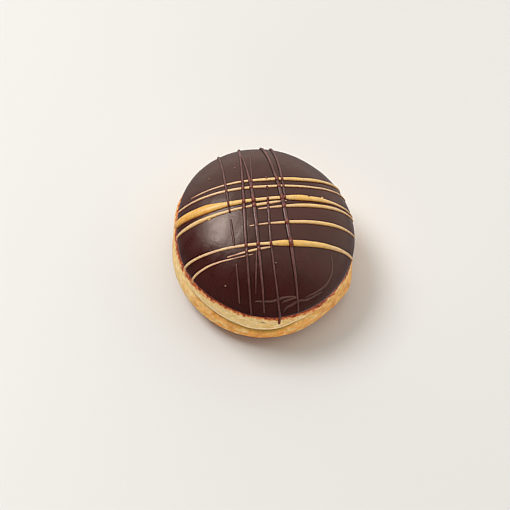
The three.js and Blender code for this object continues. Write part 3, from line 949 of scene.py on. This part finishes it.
def lie_on(points, icing, dough):
    """Moves points of the even icing on to the finished one, or on to the dough past its rim."""
    above_rim = points[:, 2] - rim_height(facing(points))
    past = np.clip((RIM_STEP[0] - above_rim) / (RIM_STEP[0] - RIM_STEP[1]), 0, 1)
    lying, normals = np.empty_like(points), np.empty_like(points)
    for index, point in enumerate(points):
        on_icing, icing_normal = icing.find_nearest(Vector(point))[:2]
        on_dough, dough_normal = dough.find_nearest(Vector(point))[:2]
        share = float(past[index])
        lying[index] = on_icing.lerp(on_dough, max(0.0, share * 2 - 1))
        normals[index] = icing_normal.lerp(dough_normal, min(1.0, share * 2)).normalized()
    return lying, normals


def smoothed(values, steps):
    """Values averaged with their neighbours over a few steps."""
    window = np.hanning(2 * steps + 3)[1:-1]
    padded = np.pad(values, steps, mode="edge")
    return np.convolve(padded, window / window.sum(), mode="valid")


def round_ends(along, width):
    """Factor on a strand's width that rounds off both its ends."""
    nose = np.maximum(width / 2, LEAST_NOSE)
    near = np.minimum(along, along[-1] - along) / nose
    return np.sqrt(np.clip(1 - (1 - np.clip(near, 0, 1)) ** 2, END_WIDTH, 1))


def lift_over(under, points, normals):
    """How far a strand is lifted off the icing by the drizzle that it crosses."""
    lift = np.zeros(len(points))
    for index, (point, normal) in enumerate(zip(points, normals)):
        point, normal = Vector(point), Vector(normal)
        hit = under.ray_cast(point + normal * PROBE_START, -normal, PROBE_REACH)[0]
        if hit is not None:
            lift[index] = max(0.0, (hit - point).dot(normal))
    return smoothed(lift, int(CROSSING_SMOOTHING / STRAND_STEP))


def strand_line(strand, number, icing, dough, under, seed):
    """Points, normals, widths and lifts at even steps along one strand as it lies."""
    share, points, along = even_stations(*strand_trail(strand))
    fullness = CARAMEL_FULLNESS if under is None else CHOCOLATE_FULLNESS
    if under is None:
        points[:, 1] -= CARAMEL_SLIP
    stations = np.linspace(0, 1, len(strand.widths))
    width = np.interp(share, stations, strand.widths) * MM
    places_along = np.stack((along, along * 0, along * 0 + number), axis=-1)
    change = 1 + uneven(places_along, WIDTH_WANDER, seed)
    width *= fullness * change * round_ends(along, width)
    sideways = np.cross(np.gradient(points, axis=0), (0, 0, 1))
    sideways /= np.maximum(np.linalg.norm(sideways, axis=1), WELD)[:, None]
    wander = uneven(places_along, LATERAL_WANDER, seed)
    points, normals = lie_on(points + sideways * wander[:, None], icing, dough)
    lift = np.zeros(len(points)) if under is None else lift_over(under, points, normals)
    return points, normals, width, lift


def ridge_line(line, icing, dough):
    """The same for a ridge in the icing itself, which is sunk until only its back stands out."""
    x, y = curved(line)
    points = icing_points(x * MM, y * MM)
    share, points, _ = even_stations(np.linspace(0, 1, len(points)), points)
    points, normals = lie_on(points, icing, dough)
    width = RIDGE_WIDTH * MM * np.sin(np.pi * np.clip(share, RIDGE_END, 1 - RIDGE_END)) ** 0.5
    sunk = -RIDGE_FLATNESS * width / 2
    return points, normals, width, sunk


def lay_strands(name, lines):
    """Draws each line as a round curve and makes them one mesh, pressed down on what is below."""
    drawing = bpy.data.curves.new(name, "CURVE")
    drawing.dimensions = "3D"
    drawing.bevel_depth = 1.0
    drawing.bevel_resolution = STRAND_ROUND
    drawing.use_fill_caps = True
    for points, normals, width, lift in lines:
        spline = drawing.splines.new("POLY")
        spline.points.add(len(points) - 1)
        raised = points + normals * lift[:, None]
        for spot, place, size in zip(spline.points, raised, width):
            spot.co = (*place, 1)
            spot.radius = size / 2
    piece = bpy.data.objects.new(name, drawing)
    bpy.context.collection.objects.link(piece)
    choose(piece)
    bpy.ops.object.convert(target="MESH")
    piece = bpy.context.active_object
    press_strands(piece, lines)
    return piece


def press_strands(piece, lines):
    """Flattens the round strands on to the icing and sinks their lower half in it."""
    mesh = piece.data
    points = places(mesh)
    floor_points, normals, widths, lifts = (np.concatenate(part) for part in zip(*lines))
    tree = KDTree(len(floor_points))
    for index, station in enumerate(floor_points + normals * lifts[:, None]):
        tree.insert(station, index)
    tree.balance()
    station_of = np.array([tree.find(Vector(point))[1] for point in points])
    normal = normals[station_of]
    lift = lifts[station_of]
    over_floor = np.einsum("ij,ij->i", points - floor_points[station_of], normal)
    rise = over_floor - lift
    pressed = np.where(rise > 0, lift + BEAD_CAP * np.tanh(rise / BEAD_CAP), rise * BEAD_FOOT)
    points += normal * (pressed - over_floor)[:, None]
    move_to(mesh, points)
    note(mesh, "width_mm", widths[station_of] / MM)
    note(mesh, "lift_mm", lift / MM)
    note(mesh, "side", np.clip(rise / np.maximum(widths[station_of] / 2, WELD), -1, 1))


def blob(surfaces, spot, relief, squash=0, shift=0):
    """A small uneven ball, half sunk in the highest surface at a spot: plan point and size."""
    x, y, size = spot
    above = Vector((x * MM - MIDDLE[0], y * MM - MIDDLE[1], HIGH))
    hits = [surface.ray_cast(above, Vector((0, 0, -1)))[:2] for surface in surfaces]
    middle, normal = max((hit for hit in hits if hit[0]), key=lambda hit: hit[0].z)
    radius = size * MM / 2
    deselect_all()
    bpy.ops.mesh.primitive_ico_sphere_add(subdivisions=3, radius=radius, location=middle)
    ball = bpy.context.active_object
    bpy.ops.object.transform_apply(location=True)
    points = places(ball.data)
    points += outward(ball.data) * (radius * uneven(points, relief, shift))[:, None]
    rise = (points - np.array(middle)) @ np.array(normal)
    points -= (squash * rise)[:, None] * np.array(normal)
    move_to(ball.data, points)
    note(ball.data, "side", np.clip(rise / radius, -1, 1))
    return ball


def add_lumps(piece, lumps, surfaces, seed):
    """Joins small lumps to a piece of drizzle, each a ball squashed on to what is below it."""
    made = []
    for number, spot in enumerate(lumps):
        lump = blob(surfaces, spot, LUMP_RELIEF, LUMP_SQUASH, seed + number)
        note(lump.data, "width_mm", np.full(len(lump.data.vertices), LUMP_WIDTH))
        made.append(lump)
    join_to(piece, made)


def caramel_material():
    """Pinkish cream where a strand is thin, yellow where it is full, orange in the thick one, with
    painted shade down its sides.
    """
    made, tree, shader = new_material("caramel", Roughness=0.35, Specular_IOR_Level=0.5)
    width = math_node(tree, "MULTIPLY_ADD", drift(tree, 150), 2.0, attribute(tree, "width_mm"))
    base = ramp(tree, width, (
        (0.4, 176, 128, 106),
        (0.8, 212, 172, 140),
        (1.4, 221, 187, 138),
        (2.3, 222, 184, 115),
        (3.6, 226, 179, 95),
        (5.0, 226, 171, 80),
    ))
    core = times(tree, spotted(tree, 230, 0.48, 0.62, 0.7), ranged(tree, width, 3.0, 4.2))
    base = mixed(tree, core, base, paint(220, 146, 52))
    near_rim = ranged(tree, attribute(tree, "above_rim_mm"), 4.0, 0.5, to_high=0.7)
    base = mixed(tree, near_rim, base, paint(208, 156, 118))
    # Painted shade: the lower sides of each strand are painted darker orange.
    base = mixed(tree, ranged(tree, attribute(tree, "side"), 0.62, 0.1), base, paint(196, 132, 66))
    wire(tree, toned(tree, base, 600.0, 0.14), shader.inputs["Base Color"])
    bumped(tree, shader, skin(tree, 500.0, 2500.0, 0.25), strength=0.25, distance=0.3 * MM)
    return made


def drizzled_chocolate_material():
    """Painted shade, near black, down a strand's sides and a lighter back as if lit, redder over
    caramel and over dough.
    """
    made, tree, shader = new_material("drizzled_chocolate", Roughness=0.33, Specular_IOR_Level=0.42)
    patches = ranged(tree, object_noise(tree, 200, detail=4), 0.3, 0.7)
    back = mixed(tree, patches, paint(86, 48, 45), paint(108, 68, 64))
    # Painted light and shade: a strand's sides are painted near black and its back lighter, as if lit
    # from above.
    base = mixed(tree, ranged(tree, attribute(tree, "side"), 0.35, 1.0), paint(26, 10, 9), back)
    crossing = ranged(tree, attribute(tree, "lift_mm"), 0.1, 0.5, to_high=0.55)
    base = mixed(tree, crossing, base, paint(132, 58, 38))
    on_dough = ranged(tree, attribute(tree, "above_rim_mm"), 0.4, -0.4)
    base = mixed(tree, on_dough, base, paint(120, 54, 38))
    wire(tree, toned(tree, base, 600.0, 0.15), shader.inputs["Base Color"])
    bumped(tree, shader, skin(tree, 600.0, 2500.0, 0.3), strength=0.25, distance=0.3 * MM)
    return made


def finish_drizzle(piece, material):
    choose(piece)
    bpy.ops.object.mode_set(mode="EDIT")
    bpy.ops.mesh.select_all(action="SELECT")
    bpy.ops.mesh.remove_doubles(threshold=WELD)
    bpy.ops.mesh.normals_make_consistent(inside=False)
    bpy.ops.object.mode_set(mode="OBJECT")
    bpy.ops.object.shade_smooth()
    note_rim(piece)
    piece.data.materials.append(material)
    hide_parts("chocolate_icing")
    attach(piece, BODY)


def make_drizzle(cap, dough):
    icing = surface_of(cap)
    caramel = lay_strands("caramel_drizzle", [
        strand_line(strand, number, icing, dough, None, CARAMEL_SEED)
        for number, strand in enumerate(CARAMEL_STRANDS)])
    add_lumps(caramel, CARAMEL_LUMPS, (icing,), CARAMEL_LUMP_SEED)
    finish_drizzle(caramel, caramel_material())
    under = surface_of(caramel)
    chocolate = lay_strands("chocolate_drizzle", [
        strand_line(strand, number, icing, dough, under, CHOCOLATE_SEED)
        for number, strand in enumerate(CHOCOLATE_STRANDS)])
    add_lumps(chocolate, CHOCOLATE_LUMPS, (icing, under), CHOCOLATE_LUMP_SEED)
    finish_drizzle(chocolate, drizzled_chocolate_material())


# -------------------- crumbs
# Crumbs and specks that stuck to the icing: plan place and size in millimetres.
CRUMBS = ((-12.7, 25.2, 0.9), (-24.4, 20.5, 1.0), (-16.5, -33.7, 0.9))
CRUMB_RELIEF = (0.3, 0.4 * MM, 91)


def make_crumbs(cap):
    surface = surface_of(cap)
    specks = [blob([surface], spot, CRUMB_RELIEF) for spot in CRUMBS]
    crumbs = specks.pop()
    join_to(crumbs, specks)
    crumbs.name = "crumbs"
    bpy.ops.object.shade_smooth()
    made, tree, shader = new_material("crumb", Roughness=0.7)
    wire(tree, toned(tree, paint(134, 100, 82), 900.0, 0.2), shader.inputs["Base Color"])
    crumbs.data.materials.append(made)
    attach(crumbs, BODY)


# -------------------- floor, light and camera
VIEW_ELEVATION = rad(60)
VIEW_DISTANCE = 699.4 * MM
VIEW_TARGET = Vector((-3.28 * MM - MIDDLE[0], 2.10 * MM - MIDDLE[1], 0))
LENS = 102.35  # in millimetres, as the sensor is
SENSOR = 36
FLOOR_SIZE = 6
CRISPNESS = 0.075
SCREEN_GAMMA = 2.2

LAMP_DISTANCE = 2.4
Lamp = namedtuple("Lamp", "facing elevation width tall power colour")
KEY = Lamp(rad(145), rad(53), 1.1, 1.1, 37.5, (1.0, 0.985, 0.965))
# The fill is low and wide, and only lifts the shade at the front.
FILL = Lamp(rad(-98), rad(10), 2.8, 0.7, 23.5, (1.0, 0.91, 0.80))

WALL_FACING = rad(60)  # the room is brighter on this side, low down
WALL_ELEVATION = rad(10)
WALL_LIGHT = (1.125, 1.05, 0.945, 1)
ROOM_LIGHT = (0.11, 0.10, 0.095, 1)
# What the icing mirrors of the world under the floor: little at the front, more at the far side.
BELOW_FRONT = (0.06, 0.063, 0.075, 1)
BELOW_FAR = (0.52, 0.49, 0.46, 1)


def direction(facing_angle, elevation):
    flat = math.cos(elevation)
    return Vector((flat * math.cos(facing_angle), flat * math.sin(facing_angle), math.sin(elevation)))


def look_at(thing, target):
    thing.rotation_euler = (target - thing.location).to_track_quat("-Z", "Y").to_euler()


def make_floor():
    deselect_all()
    bpy.ops.mesh.primitive_plane_add(size=FLOOR_SIZE, location=(0, 0, 0))
    floor = bpy.context.active_object
    floor.name = "floor"
    made, tree, shader = new_material("pale_floor", Roughness=0.45, Specular_IOR_Level=0.3)
    shade = object_noise(tree, 1.5, detail=2)
    colour = mixed(tree, ranged(tree, shade, 0.3, 0.7), paint(224, 226, 227), paint(221, 223, 224))
    wire(tree, colour, shader.inputs["Base Color"])
    floor.data.materials.append(made)
    floor.visible_glossy = False


def make_lamp(name, lamp):
    """A rectangle of light that looks at the middle of the bun."""
    data = bpy.data.lights.new(name, "AREA")
    data.shape = "RECTANGLE"
    data.size = lamp.width
    data.size_y = lamp.tall
    data.energy = lamp.power
    data.color = lamp.colour
    made = bpy.data.objects.new(name, data)
    bpy.context.collection.objects.link(made)
    made.location = direction(lamp.facing, lamp.elevation) * LAMP_DISTANCE
    look_at(made, Vector((0, 0, GIRTH_HEIGHT)))
    return made


def make_light():
    make_lamp("soft_key", KEY)
    fill = make_lamp("soft_fill", FILL)
    fill.visible_glossy = False
    world = bpy.data.worlds.new("studio")
    world.use_nodes = True
    tree = world.node_tree
    way = add(tree, "ShaderNodeTexCoord").outputs["Generated"]
    sockets = {0: way, 1: direction(WALL_FACING, WALL_ELEVATION)}
    to_wall = add(tree, "ShaderNodeVectorMath", sockets, operation="DOT_PRODUCT").outputs["Value"]
    above = mixed(tree, ranged(tree, to_wall, -0.3, 0.6), ROOM_LIGHT, WALL_LIGHT)
    below = mixed(tree, ranged(tree, to_wall, -0.8, 0.2), BELOW_FRONT, BELOW_FAR)
    rise = add(tree, "ShaderNodeSeparateXYZ", {0: way}).outputs["Z"]
    light = mixed(tree, ranged(tree, rise, -0.35, 0.0), below, above)
    wire(tree, light, tree.nodes["Background"].inputs["Color"])
    bpy.context.scene.world = world
    bpy.context.scene.view_settings.view_transform = "Standard"


def crisp_picture():
    """Sharpens the picture a little, as a camera does."""
    scene = bpy.context.scene
    scene.use_nodes = True
    tree = scene.node_tree
    tree.nodes.clear()
    picture = add(tree, "CompositorNodeRLayers").outputs["Image"]
    seen = add(tree, "CompositorNodeGamma", {"Image": picture, "Gamma": 1 / SCREEN_GAMMA})
    sockets = {"Image": seen.outputs["Image"], "Fac": CRISPNESS}
    sharper = add(tree, "CompositorNodeFilter", sockets, filter_type="SHARPEN")
    sockets = {"Image": sharper.outputs["Image"], "Gamma": SCREEN_GAMMA}
    back = add(tree, "CompositorNodeGamma", sockets)
    add(tree, "CompositorNodeComposite", {"Image": back.outputs["Image"]})


def make_camera():
    lens = bpy.data.cameras.new("camera")
    lens.lens = LENS
    lens.sensor_width = SENSOR
    lens.clip_start = 0.01
    lens.clip_end = 20
    camera = bpy.data.objects.new("camera", lens)
    bpy.context.collection.objects.link(camera)
    camera.location = VIEW_TARGET + direction(rad(-90), VIEW_ELEVATION) * VIEW_DISTANCE
    look_at(camera, VIEW_TARGET)
    bpy.context.scene.camera = camera


# -------------------- the scene
make_camera()
crisp_picture()
make_light()
make_floor()
dough_bun = make_dough()
icing_cap = make_icing()
bare_dough = surface_of(dough_bun)
make_drizzle(icing_cap, bare_dough)
make_crumbs(icing_cap)
finish_icing(icing_cap, bare_dough)

deselect_all()
